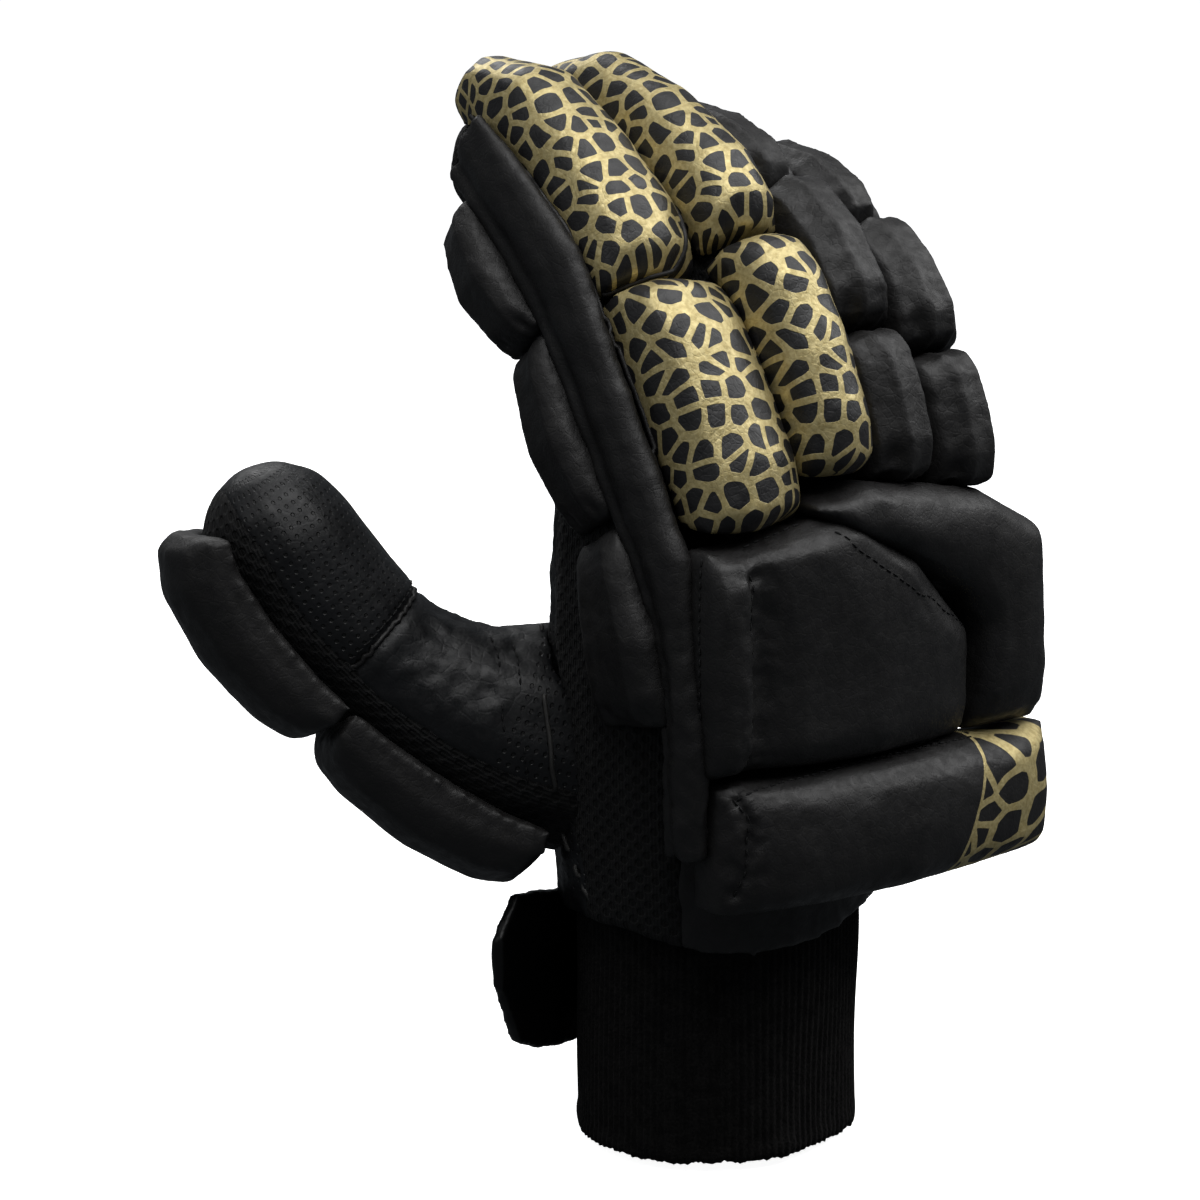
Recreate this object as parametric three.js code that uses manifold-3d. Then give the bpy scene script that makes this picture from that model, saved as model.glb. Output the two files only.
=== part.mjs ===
// A right-hand cricket batting glove, fingers up, thumb held out to the side.
// The hand goes in at the wrist, through a knitted cuff, into a hollow shell of leather and
// mesh with a stall for each finger and the thumb. Padded rolls and slabs are sewn over the
// back, and a strap closes the palm side of the wrist.
// Millimetres, +Z up the hand, -Y out of the back of the hand, -X to the thumb side.
// The origin is the middle of the wrist opening, in the plane of the cuff's hem.
import * as THREE from "three";
import { mergeVertices } from "three/addons/utils/BufferGeometryUtils.js";
import Module from "manifold-3d";

// Knitted cuff
const cuffLength = 68;
const cuffWidth = 76;
const cuffDepth = 68;
const knitWall = 2.6;
const hemLap = 8;

// Hand shell, from the hem that laps the cuff up to the finger roots
const handLength = 112;
const knuckleWidth = 101;
const knuckleShift = 10;
const palmDepth = 31;
const backDepth = 31;
const shellWall = 2;
const hemDip = 5;

// Index finger's stall, which the other fingers are shares of, and the thumb's
const fingerLength = 115;
const fingerSide = 12.6;
const fingerNail = 13;
const fingerPalm = 17;
const thumbLength = 100;
const thumbGirth = 19.5;

// Height of the pads over what they are sewn to
const padHeight = 17.5;

// Clearances: between two panels, a pad and what it is sewn to, and two pads side by side
const panelGap = 0.4;
const seatGap = 0.6;
const padGap = 0.8;
const hemEase = 0.9;

// Rows up the hand. Shares: at of handLength, side of half of knuckleWidth, shift of
// knuckleShift, palm of palmDepth, back of backDepth. square is 2 for an oval section and
// more for a squarer one. The hem goes round the cuff.
const hemSide = (cuffWidth / 2 + shellWall + hemEase) / (knuckleWidth / 2);
const hemPalm = (cuffDepth / 2 + shellWall + hemEase) / palmDepth;
const hemBack = (cuffDepth / 2 + shellWall + hemEase) / backDepth;
const handRows = [
  { at: 0.0, side: hemSide, shift: 0.0, palm: hemPalm, back: hemBack, square: 2.1 },
  { at: 0.14, side: hemSide + 0.04, shift: 0.15, palm: hemPalm + 0.05, back: hemBack, square: 2.3 },
  { at: 0.36, side: 0.95, shift: 0.55, palm: 1.2, back: 1.1, square: 2.7 },
  { at: 0.62, side: 1.0, shift: 0.95, palm: 1.14, back: 1.02, square: 3 },
  { at: 0.86, side: 1.0, shift: 1.0, palm: 1.08, back: 1.0, square: 3 },
  { at: 1.0, side: 0.96, shift: 1.0, palm: 1.0, back: 0.95, square: 3 },
];

// Fingers. across and up place the root, as shares of half of knuckleWidth and of handLength,
// and deep of backDepth. length runs from the root to the centre of the round tip. side, nail
// and palm are how far the stall reaches from its middle line sideways, to the back and to
// the palm, as shares of the index finger's. lean and curl are the slope from upright at the
// root and at the tip.
const fingers = [
  {
    name: "index", across: -0.7, up: 0.86, deep: 0.55, length: 1,
    side: 1, nail: 1, palm: 1, lean: 28, curl: 56,
  },
  {
    name: "middle", across: -0.14, up: 0.93, deep: 0.62, length: 0.974,
    side: 0.825, nail: 1, palm: 0.94, lean: 21, curl: 74,
  },
  {
    name: "ring", across: 0.31, up: 0.92, deep: 0.57, length: 0.817,
    side: 0.794, nail: 0.96, palm: 0.88, lean: 17, curl: 74,
  },
  {
    name: "little", across: 0.76, up: 0.86, deep: 0.56, length: 0.73,
    side: 0.794, nail: 0.923, palm: 0.824, lean: 13, curl: 68,
  },
];
// Where a finger bends, and how it tapers. Shares: at of its length, bend of the turn from
// lean to curl, taper of side and nail, inner of palm.
const fingerRows = [
  { at: -0.5, bend: -0.7, taper: 1.04, inner: 1 },
  { at: -0.06, bend: -0.35, taper: 1.03, inner: 1 },
  { at: 0.04, bend: 0, taper: 1.02, inner: 1 },
  { at: 0.42, bend: 0.2, taper: 0.99, inner: 0.96 },
  { at: 0.58, bend: 0.55, taper: 0.97, inner: 1 },
  { at: 1, bend: 1, taper: 0.9, inner: 0.9 },
];

// Thumb. The root is placed like a finger's. bearing turns its direction from the thumb side
// towards the palm, lean lifts it from level at the root and curl at the tip, roll turns its
// nail side about its length.
const thumb = {
  name: "thumb", across: -0.68, up: 0.3, deep: -0.71, length: 1,
  side: 1, nail: 1, palm: 1, bearing: 30, lean: 0, curl: 48, rise: 13, roll: 8,
};
// Rows along the thumb, with the same columns.
const thumbRows = [
  { at: -0.2, bend: -0.1, taper: 1.25, inner: 2.6 },
  { at: 0.0, bend: 0, taper: 1.25, inner: 2.3 },
  { at: 0.28, bend: 0.3, taper: 1.18, inner: 1.42 },
  { at: 0.6, bend: 0.6, taper: 0.96, inner: 0.98 },
  { at: 0.85, bend: 0.9, taper: 1.03, inner: 1.06 },
  { at: 1.0, bend: 1, taper: 1.0, inner: 1.0 },
];

const wasm = await Module();
wasm.setup();
const rad = THREE.MathUtils.degToRad;
const lerp = THREE.MathUtils.lerp;
const clamp = THREE.MathUtils.clamp;
const halfKnuckles = knuckleWidth / 2;
const handBottom = cuffLength - hemLap;

// The value of one column of a table at a place between its rows, on a smooth curve.
function tableAt(rows, key, at) {
  const last = rows.length - 1;
  const t = clamp(at, rows[0].at, rows[last].at);
  let i = 0;
  while (i < last - 1 && t > rows[i + 1].at) i += 1;
  const [p, q] = [rows[i], rows[i + 1]];
  const before = rows[Math.max(i - 1, 0)];
  const after = rows[Math.min(i + 2, last)];
  const span = q.at - p.at;
  const slopeP = ((q[key] - before[key]) / (q.at - before.at)) * span;
  const slopeQ = ((after[key] - p[key]) / (after.at - p.at)) * span;
  const u = (t - p.at) / span;
  const [u2, u3] = [u * u, u * u * u];
  return (2 * u3 - 3 * u2 + 1) * p[key] + (u3 - 2 * u2 + u) * slopeP +
    (3 * u2 - 2 * u3) * q[key] + (u3 - u2) * slopeQ;
}

// An indexed geometry whose faces point out, whichever way its rows ran.
function facesGeometry(points, faces) {
  let volume = 0;
  for (const [a, b, c] of faces) volume += points[a].dot(points[b].clone().cross(points[c]));
  const turned = volume < 0 ? faces.map(([a, b, c]) => [a, c, b]) : faces;
  const geometry = new THREE.BufferGeometry().setFromPoints(points);
  geometry.setIndex(turned.flat());
  return geometry;
}

// A closed mesh through rings of points, each end closed by a fan.
function ringsGeometry(rings) {
  const points = rings.flat();
  const faces = [];
  const count = rings[0].length;
  for (let r = 0; r + 1 < rings.length; r += 1) {
    for (let k = 0; k < count; k += 1) {
      const a = r * count + k;
      const b = r * count + ((k + 1) % count);
      faces.push([a, b, b + count], [a, b + count, a + count]);
    }
  }
  for (const ring of [0, rings.length - 1]) {
    const middle = new THREE.Vector3();
    rings[ring].forEach((p) => middle.addScaledVector(p, 1 / count));
    points.push(middle);
    for (let k = 0; k < count; k += 1) {
      const a = ring * count + k;
      const b = ring * count + ((k + 1) % count);
      faces.push(ring === 0 ? [b, a, points.length - 1] : [a, b, points.length - 1]);
    }
  }
  return facesGeometry(points, faces);
}

// A closed mesh between two grids of points that face each other, joined round their rims.
function slabGeometry(under, over) {
  const [rows, columns] = [under.length, under[0].length];
  const points = [...under.flat(), ...over.flat()];
  const index = (layer, i, j) => layer * rows * columns + i * columns + j;
  const faces = [];
  const quad = (a, b, c, d) => faces.push([a, b, c], [a, c, d]);
  for (let i = 0; i + 1 < rows; i += 1) {
    for (let j = 0; j + 1 < columns; j += 1) {
      quad(index(1, i, j), index(1, i, j + 1), index(1, i + 1, j + 1), index(1, i + 1, j));
      quad(index(0, i, j), index(0, i + 1, j), index(0, i + 1, j + 1), index(0, i, j + 1));
    }
  }
  const rim = [];
  for (let j = 0; j < columns; j += 1) rim.push([0, j]);
  for (let i = 1; i < rows; i += 1) rim.push([i, columns - 1]);
  for (let j = columns - 2; j >= 0; j -= 1) rim.push([rows - 1, j]);
  for (let i = rows - 2; i > 0; i -= 1) rim.push([i, 0]);
  rim.forEach(([i, j], k) => {
    const [m, n] = rim[(k + 1) % rim.length];
    quad(index(0, i, j), index(0, m, n), index(1, m, n), index(1, i, j));
  });
  return facesGeometry(points, faces);
}

function solidOf(geometry) {
  const merged = mergeVertices(geometry, 1e-4);
  return new wasm.Manifold(new wasm.Mesh({
    numProp: 3,
    vertProperties: merged.attributes.position.array,
    triVerts: new Uint32Array(merged.index.array),
  }));
}

// Only the largest body of a cut, so that no sliver is left beside it.
function largest(solid) {
  return solid.decompose().reduce((a, b) => (b.volume() > a.volume() ? b : a));
}

function geometryOf(solid) {
  const { vertProperties, triVerts } = solid.getMesh();
  const geometry = new THREE.BufferGeometry();
  geometry.setAttribute("position", new THREE.BufferAttribute(new Float32Array(vertProperties), 3));
  geometry.setIndex(new THREE.BufferAttribute(new Uint32Array(triVerts), 1));
  return geometry;
}

const glove = new THREE.Group();
const looks = {
  leather: { color: 0x16151a, roughness: 0.55, metalness: 0 },
  grain: { color: 0x1c1b20, roughness: 0.42, metalness: 0 },
  gold: { color: 0xa08a48, roughness: 0.38, metalness: 0.3 },
  mesh: { color: 0x121113, roughness: 0.9, metalness: 0 },
  knit: { color: 0x0e0d0f, roughness: 0.95, metalness: 0 },
};

function addPiece(name, look, solid) {
  const geometry = geometryOf(largest(solid));
  geometry.computeVertexNormals();
  const mesh = new THREE.Mesh(geometry, new THREE.MeshStandardMaterial(looks[look]));
  mesh.name = name;
  glove.add(mesh);
}

// Hand shell surface

const handX = (share) => knuckleShift + share * halfKnuckles;
const handZ = (share) => handBottom + share * handLength;

function handSection(z) {
  const at = (z - handBottom) / handLength;
  return {
    x: tableAt(handRows, "shift", at) * knuckleShift,
    side: tableAt(handRows, "side", at) * halfKnuckles,
    palm: tableAt(handRows, "palm", at) * palmDepth,
    back: tableAt(handRows, "back", at) * backDepth,
    square: tableAt(handRows, "square", at),
  };
}

// A point of the hand's outline at a height, grown outwards. Angle 90 is the palm, 180 the
// thumb side and 270 the back.
function handPoint(angle, z, grow) {
  const s = handSection(z);
  const [c, n] = [Math.cos(rad(angle)), Math.sin(rad(angle))];
  const power = 2 / s.square;
  const depth = (n > 0 ? s.palm : s.back) + grow;
  return new THREE.Vector3(
    s.x + Math.sign(c) * Math.abs(c) ** power * (s.side + grow),
    Math.sign(n) * Math.abs(n) ** power * depth,
    z,
  );
}

const handSides = 22;
const handSteps = 5;
const crownDrop = 9;
const tabMiddle = 248;
const tabSpread = 50;

// The hem dips in a round tab on the back, towards the thumb side.
function hemHeight(angle) {
  const off = clamp(Math.abs(angle - tabMiddle) / tabSpread, 0, 1);
  return handBottom - hemDip * Math.cos(rad(90 * off));
}

// A solid filling the hand's outline, grown outwards, rounded over between the finger roots.
function handSolid(grow, extend) {
  const rings = [];
  const shoulder = handZ(1) - crownDrop;
  for (let i = 0; i <= handSteps; i += 1) {
    const ring = [];
    for (let k = 0; k < handSides; k += 1) {
      const angle = (k * 360) / handSides;
      ring.push(handPoint(angle, lerp(hemHeight(angle) - extend, shoulder, i / handSteps), grow));
    }
    rings.push(ring);
  }
  for (const turn of [35, 65]) {
    const inset = (1 - Math.cos(rad(turn))) * crownDrop;
    const z = shoulder + Math.sin(rad(turn)) * (crownDrop + grow);
    rings.push(rings[0].map((_, k) => handPoint((k * 360) / handSides, shoulder, grow - inset).setZ(z)));
  }
  return solidOf(ringsGeometry(rings));
}

// Fingers and thumb as digits: a centre line that curls in one plane, and a girth along it.

const lineSteps = 68;

function digitOf(shares, sizes, along, nail, rows) {
  const line = [];
  const reach = 0.7;
  const spec = { ...shares };
  for (const key of Object.keys(sizes)) spec[key] = shares[key] * sizes[key];
  const step = (spec.length * (1 + reach)) / lineSteps;
  const slopeAt = (s) => rad(lerp(spec.lean, spec.curl, tableAt(rows, "bend", s / spec.length)));
  const origin = new THREE.Vector3(handX(spec.across), -spec.deep * backDepth, handZ(spec.up));
  let forward = 0;
  let inward = 0;
  for (let i = 0; i <= lineSteps; i += 1) {
    const s = i * step - reach * spec.length;
    line.push({ forward, inward });
    forward += Math.cos(slopeAt(s + step / 2)) * step;
    inward += Math.sin(slopeAt(s + step / 2)) * step;
  }
  const root = line[Math.round((reach * lineSteps) / (1 + reach))];
  const across = along.clone().cross(nail);
  return { ...spec, origin, along, nailward: nail, across, rows, line, root, step, reach, slopeAt };
}

// Centre, direction, nail side and girth at a length along a digit. Past its length the frame
// turns over the round tip.
function digitFrame(digit, s) {
  const inside = clamp(s, -digit.reach * digit.length, digit.length);
  const t = (inside + digit.reach * digit.length) / digit.step;
  const i = Math.min(Math.floor(t), lineSteps - 1);
  const forward = lerp(digit.line[i].forward, digit.line[i + 1].forward, t - i) - digit.root.forward;
  const inward = lerp(digit.line[i].inward, digit.line[i + 1].inward, t - i) - digit.root.inward;
  const slope = digit.slopeAt(inside);
  const taper = tableAt(digit.rows, "taper", inside / digit.length);
  const [side, nail] = [digit.side * taper, digit.nail * taper];
  const palm = digit.palm * tableAt(digit.rows, "inner", inside / digit.length);
  const over = clamp((s - digit.length) / nail, 0, Math.PI / 2);
  const turned = slope + over;
  const mix = (a, b) => digit.along.clone().multiplyScalar(a).addScaledVector(digit.nailward, b);
  return {
    centre: digit.origin.clone().add(mix(forward, -inward)),
    across: digit.across,
    direction: mix(Math.cos(turned), -Math.sin(turned)),
    outward: mix(Math.sin(turned), Math.cos(turned)),
    side,
    nail,
    palm,
  };
}

const digitSides = 12;

// A solid filling a digit, grown outwards, from inside the hand to its round tip.
function digitSolid(digit, from, steps, grow) {
  const rings = [];
  const ringAt = (frame, spread, forward) => {
    const ring = [];
    for (let k = 0; k < digitSides; k += 1) {
      const angle = (k * 2 * Math.PI) / digitSides;
      const depth = Math.sin(angle) > 0 ? frame.nail : frame.palm;
      ring.push(frame.centre.clone()
        .addScaledVector(frame.direction, forward)
        .addScaledVector(frame.across, Math.cos(angle) * (frame.side + grow) * spread)
        .addScaledVector(frame.outward, Math.sin(angle) * (depth + grow) * spread));
    }
    return ring;
  };
  for (let i = 0; i <= steps; i += 1) {
    rings.push(ringAt(digitFrame(digit, lerp(from, digit.length, i / steps)), 1, 0));
  }
  const end = digitFrame(digit, digit.length);
  for (const turn of [30, 60, 82]) {
    rings.push(ringAt(end, Math.cos(rad(turn)), Math.sin(rad(turn)) * (end.nail + grow)));
  }
  return solidOf(ringsGeometry(rings));
}

const fingerSizes = { length: fingerLength, side: fingerSide, nail: fingerNail, palm: fingerPalm };
const thumbSizes = { length: thumbLength, side: thumbGirth, nail: thumbGirth, palm: thumbGirth };
const fingerDigits = fingers.map((shares) =>
  digitOf(shares, fingerSizes, new THREE.Vector3(0, 0, 1), new THREE.Vector3(0, -1, 0), fingerRows));
const thumbAlong = new THREE.Vector3(
  -Math.cos(rad(thumb.rise)) * Math.cos(rad(thumb.bearing)),
  Math.cos(rad(thumb.rise)) * Math.sin(rad(thumb.bearing)),
  Math.sin(rad(thumb.rise)),
);
const thumbNail = new THREE.Vector3(0, 0, -1).projectOnPlane(thumbAlong).normalize();
thumbNail.applyAxisAngle(thumbAlong, rad(thumb.roll));
const thumbDigit = digitOf(thumb, thumbSizes, thumbAlong, thumbNail, thumbRows);

const rootInside = -16;
const thumbInside = -22;
const fingerSteps = 7;
const thumbSteps = 6;

// Hand shell and stalls: outer solids less the room for the hand

const handKeepOut = handSolid(panelGap, 0);
const fingerRooms = fingerDigits.map((d) => digitSolid(d, rootInside, fingerSteps, -shellWall));
const fingerKeepOuts = fingerDigits.map((d) => digitSolid(d, rootInside, fingerSteps, panelGap));
const thumbRoom = digitSolid(thumbDigit, thumbInside, thumbSteps, -shellWall);
const thumbKeepOut = digitSolid(thumbDigit, thumbInside, thumbSteps, panelGap);

let shell = handSolid(0, 0).subtract(handSolid(-shellWall, 12)).subtract(thumbRoom);
fingerRooms.forEach((room) => { shell = shell.subtract(room); });

// A wedge of the hand between two edges, each an angle at the hem and one at the finger roots,
// to split the shell.
function handWedge(from, to) {
  const reach = knuckleWidth;
  const steps = 6;
  const rings = [-0.2, 0, 0.2, 0.4, 0.6, 0.8, 1, 1.2].map((at) => {
    const ring = [new THREE.Vector3(knuckleShift / 2, 0, handZ(at))];
    for (let i = 0; i <= steps; i += 1) {
      const angle = rad(lerp(lerp(from.hem, from.roots, at), lerp(to.hem, to.roots, at), i / steps));
      const x = knuckleShift / 2 + reach * Math.cos(angle);
      ring.push(new THREE.Vector3(x, reach * Math.sin(angle), handZ(at)));
    }
    return ring;
  });
  return solidOf(ringsGeometry(rings));
}

// Panel edges, as angles round the hand
const palmEdgeLittle = { hem: 8, roots: 8 };
const palmEdgeThumb = { hem: 176, roots: 148 };
const meshEdgeBack = { hem: 212, roots: 208 };
const panelTurn = 0.4;
const turned = (edge, by) => ({ hem: edge.hem + by, roots: edge.roots + by });

const palmWedge = (by) => handWedge(turned(palmEdgeLittle, by), turned(palmEdgeThumb, -by));
const backWedge = (by) => handWedge(turned(meshEdgeBack, by), turned(palmEdgeLittle, 360 - by));
const offPalm = shell.subtract(palmWedge(-panelTurn));
addPiece("palm_leather", "grain", shell.intersect(palmWedge(panelTurn)));
addPiece("side_mesh", "mesh", offPalm.subtract(backWedge(-panelTurn)));
addPiece("back_leather", "leather", offPalm.intersect(backWedge(panelTurn)));

// The room that the pads take on the back of the hand, which the stalls keep out of.
const backRoom = solidOf(ringsGeometry([-0.2, 0.99].map((at) => {
  const s = handSection(handZ(at));
  const deep = -s.back * 0.4;
  return [[-2, deep], [2, deep], [2, -3 * backDepth], [-2, -3 * backDepth]].map(([x, y]) =>
    new THREE.Vector3(handX(x), y, handZ(at)));
}))).subtract(handKeepOut);

fingerDigits.forEach((digit, i) => {
  let stall = digitSolid(digit, rootInside, fingerSteps, 0).subtract(fingerRooms[i]).subtract(handKeepOut)
    .subtract(backRoom);
  if (i > 0) stall = stall.subtract(fingerKeepOuts[i - 1]);
  addPiece(digit.name + "_stall", "mesh", stall);
});

// A prism that follows a digit and holds everything on its nail side above a level.
function digitHalf(digit, level) {
  const rings = [];
  const reach = digit.nail * 3;
  for (let i = 0; i <= thumbSteps; i += 1) {
    const frame = digitFrame(digit, lerp(thumbInside - thumbGirth * 0.2, digit.length, i / thumbSteps));
    rings.push([[-1, 0], [1, 0], [1, 1], [-1, 1]].map(([a, h]) => frame.centre.clone()
      .addScaledVector(frame.direction, i === thumbSteps ? reach : 0)
      .addScaledVector(frame.across, a * reach)
      .addScaledVector(frame.outward, lerp(level, reach, h))));
  }
  return solidOf(ringsGeometry(rings));
}

const thumbMeshLevel = thumbGirth * 0.36;
const thumbTube = digitSolid(thumbDigit, thumbInside, thumbSteps, 0).subtract(thumbRoom).subtract(handKeepOut);
addPiece("thumb_stall", "grain", thumbTube.subtract(digitHalf(thumbDigit, thumbMeshLevel - panelGap)));
addPiece("thumb_mesh", "mesh", thumbTube.intersect(digitHalf(thumbDigit, thumbMeshLevel)));

// Knitted cuff

function ellipseRing(width, depth, z, sides) {
  const ring = [];
  for (let k = 0; k < sides; k += 1) {
    const angle = (k * 2 * Math.PI) / sides;
    ring.push(new THREE.Vector3((Math.cos(angle) * width) / 2, (Math.sin(angle) * depth) / 2, z));
  }
  return ring;
}

const cuffSides = 26;
const cuffSolid = (shrink, extend) => solidOf(ringsGeometry([-extend, cuffLength + extend].map((z) =>
  ellipseRing(cuffWidth - 2 * shrink, cuffDepth - 2 * shrink, z, cuffSides))));
addPiece("knit_cuff", "knit", cuffSolid(0, 0).subtract(cuffSolid(knitWall, 1)));

// Wrist strap: a band round the palm side of the cuff, below the shell's hem, whose round end
// stands off at the thumb side. strapFrom and strapTo are where it lies round the cuff,
// strapFree is the length past that and strapLift how far its end turns up.
const strapDrop = 1.8;
const strapWidth = 42;
const strapThick = 3;
const strapFree = 46;
const strapLift = 11;
const strapFrom = 20;
const strapTo = 112;
const strapEndRound = 15;

function strapSolid() {
  const under = [];
  const over = [];
  const steps = 12;
  const bandSteps = 7;
  const bandStep = 7;
  for (let i = 0; i <= steps; i += 1) {
    const angle = rad(lerp(strapFrom, strapTo, Math.min(i / bandSteps, 1)));
    const loose = Math.max(i - bandSteps, 0) / (steps - bandSteps);
    const normal = new THREE.Vector3(Math.cos(angle) / cuffWidth, Math.sin(angle) / cuffDepth, 0).normalize();
    const tangent = new THREE.Vector3(-normal.y, normal.x, 0);
    const base = new THREE.Vector3((Math.cos(angle) * cuffWidth) / 2, (Math.sin(angle) * cuffDepth) / 2, 0)
      .addScaledVector(tangent, loose * strapFree);
    const toEnd = Math.min((1 - loose) * strapFree, bandStep * i + 2, strapEndRound);
    const lost = strapEndRound - Math.sqrt(Math.max(strapEndRound ** 2 - (strapEndRound - toEnd) ** 2, 0));
    const half = strapWidth / 2 - lost;
    const middle = handBottom - strapDrop - strapWidth / 2 + loose ** 2 * strapLift;
    const row = (out) => [-1, -0.5, 0, 0.5, 1].map((v) =>
      base.clone().addScaledVector(normal, out).setZ(middle + v * half));
    under.push(row(seatGap));
    over.push(row(seatGap + strapThick));
  }
  return solidOf(slabGeometry(under, over));
}
addPiece("wrist_strap", "leather", strapSolid());

// Pads keep off the shell, the stalls and every pad made before them.
const padsMade = [];

function addPad(name, look, make, keepOuts) {
  let solid = make(0);
  for (const other of [...keepOuts, ...padsMade]) solid = solid.subtract(other);
  padsMade.push(make(padGap));
  addPiece(name, look, solid);
}

// Pads on the back of a digit. from and to are shares of the digit's length, over is how far
// the pad goes round the tip in degrees; width and shift, towards the little finger, are shares
// of the stall's half width and height of padHeight. A level pad has a level lower end, to meet
// the pads on the back of the hand.

// Across a pad and along it: at is the place, up the share of the height there.
const roundAcross = [
  { at: -1, up: 0 },
  { at: -0.86, up: 0.62 },
  { at: -0.46, up: 0.93 },
  { at: 0, up: 1 },
  { at: 0.46, up: 0.93 },
  { at: 0.86, up: 0.62 },
  { at: 1, up: 0 },
];
const ribbedAcross = [
  { at: -1, up: 0 },
  { at: -0.88, up: 0.68 },
  { at: -0.45, up: 0.88 },
  { at: -0.15, up: 1 },
  { at: 0.34, up: 0.92 },
  { at: 0.86, up: 0.52 },
  { at: 1, up: 0 },
];
const padEnds = [
  { at: 0, up: 0 },
  { at: 0.06, up: 0.66 },
  { at: 0.2, up: 0.94 },
  { at: 0.5, up: 1 },
  { at: 0.8, up: 0.94 },
  { at: 0.94, up: 0.66 },
  { at: 1, up: 0 },
];
const padRim = 0.5;
const deepestSeat = 0.72;

function digitPad(digit, pad, grow) {
  const start = pad.from * digit.length - grow;
  const stop = pad.to * digit.length + rad(pad.over || 0) * digitFrame(digit, digit.length).nail + grow;
  const under = [];
  const over = [];
  for (const end of padEnds) {
    const frame = digitFrame(digit, lerp(start, stop, end.at));
    const half = pad.width * digit.side * lerp(1, pad.taper || 1, end.at) + grow;
    const shift = (pad.shift || 0) * digit.side;
    const seatAt = (a) => (frame.nail + seatGap) *
      Math.sqrt(1 - clamp(Math.abs(a + shift) / (frame.side + seatGap), 0, deepestSeat) ** 2) - grow;
    const undercut = Math.tan(rad(pad.level ? digit.lean : 0)) * (1 - end.at) ** 4;
    const place = (a, h) => frame.centre.clone().addScaledVector(frame.across, a + shift)
      .addScaledVector(frame.outward, h).addScaledVector(frame.direction, (frame.nail - h) * undercut);
    under.push(pad.profile.map(({ at }) => place(at * half, seatAt(at * half))));
    over.push(pad.profile.map(({ at, up }) => {
      const edge = seatAt(at * half) + pad.height * padHeight * padRim + 2 * grow;
      return place(at * half, lerp(edge, frame.nail + pad.height * padHeight + grow, up * end.up));
    }));
  }
  return solidOf(slabGeometry(under, over));
}

const [indexDigit, middleDigit, ringDigit, littleDigit] = fingerDigits;
const fingerPads = [
  {
    name: "index_base_roll", look: "gold", digit: indexDigit, from: 0.01, to: 0.5, level: true,
    width: 1.2, shift: 0.34, height: 1.04, taper: 0.97, profile: roundAcross,
  },
  {
    name: "index_tip_roll", look: "gold", digit: indexDigit, from: 0.52, to: 1, over: 66,
    width: 1.15, shift: 0.26, height: 0.97, taper: 0.8, profile: roundAcross,
  },
  {
    name: "middle_base_roll", look: "gold", digit: middleDigit, from: 0.04, to: 0.5, level: true,
    width: 1.058, height: 1.09, profile: roundAcross,
  },
  {
    name: "middle_tip_roll", look: "gold", digit: middleDigit, from: 0.52, to: 1, over: 66,
    width: 1.058, height: 1.03, taper: 0.9, profile: roundAcross,
  },
  {
    name: "ring_base_pad", look: "leather", digit: ringDigit, from: 0.03, to: 0.36, level: true,
    width: 1.075, height: 1.03, profile: ribbedAcross,
  },
  {
    name: "ring_middle_pad", look: "leather", digit: ringDigit, from: 0.38, to: 0.72,
    width: 1.075, height: 1, profile: ribbedAcross,
  },
  {
    name: "ring_tip_pad", look: "leather", digit: ringDigit, from: 0.74, to: 1, over: 66,
    width: 1, height: 0.914, taper: 0.85, profile: ribbedAcross,
  },
  {
    name: "little_base_pad", look: "leather", digit: littleDigit, from: 0.06, to: 0.4, level: true,
    width: 1.1, height: 1.03, profile: ribbedAcross,
  },
  {
    name: "little_middle_pad", look: "leather", digit: littleDigit, from: 0.42, to: 0.74,
    width: 1.1, height: 0.943, profile: ribbedAcross,
  },
  {
    name: "little_tip_pad", look: "leather", digit: littleDigit, from: 0.76, to: 1, over: 66,
    width: 1, height: 0.857, taper: 0.85, profile: ribbedAcross,
  },
  {
    name: "thumb_base_pad", look: "leather", digit: thumbDigit, from: 0.1, to: 0.6,
    width: 1.23, height: 0.686, taper: 0.85, profile: roundAcross,
  },
  {
    name: "thumb_tip_pad", look: "leather", digit: thumbDigit, from: 0.62, to: 1, over: 36,
    width: 1.077, height: 0.686, taper: 0.9, profile: roundAcross,
  },
];
fingerPads.forEach((pad) => addPad(pad.name, pad.look, (grow) => digitPad(pad.digit, pad, grow),
  [handKeepOut, thumbKeepOut, ...fingerKeepOuts]));

// Pads down the thumb side of the index finger. near and far are how far the pad's long edges
// lie towards the nail side of the finger's middle line, as shares of fingerSide, and thick is
// a share of padHeight.

const sideRim = 0.35;

function digitSidePad(digit, pad, grow) {
  const under = [];
  const over = [];
  const rows = pad.rows.length - 1;
  const stations = [0, 0.05, 0.16, 0.5, 0.84, 0.95, 1];
  const rise = [0, 0.6, 0.92, 1, 0.92, 0.6, 0];
  for (const [i, t] of stations.entries()) {
    const k = Math.min(Math.floor(t * rows), rows - 1);
    const mix = (key) => lerp(pad.rows[k][key], pad.rows[k + 1][key], t * rows - k);
    const frame = digitFrame(digit, mix("at") * digit.length + (2 * t - 1) * grow);
    const place = (h, out) => frame.centre.clone()
      .addScaledVector(frame.across, -out).addScaledVector(frame.outward, h);
    const seat = frame.side + seatGap;
    const level = (v) => lerp(mix("near") * fingerSide + grow, mix("far") * fingerSide - grow, v);
    under.push(stations.map((v) => place(level(v), seat - grow)));
    over.push(stations.map((v, j) =>
      place(level(v), seat + grow + mix("thick") * padHeight * lerp(sideRim, 1, rise[i] * rise[j]))));
  }
  return solidOf(slabGeometry(under, over));
}

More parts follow.
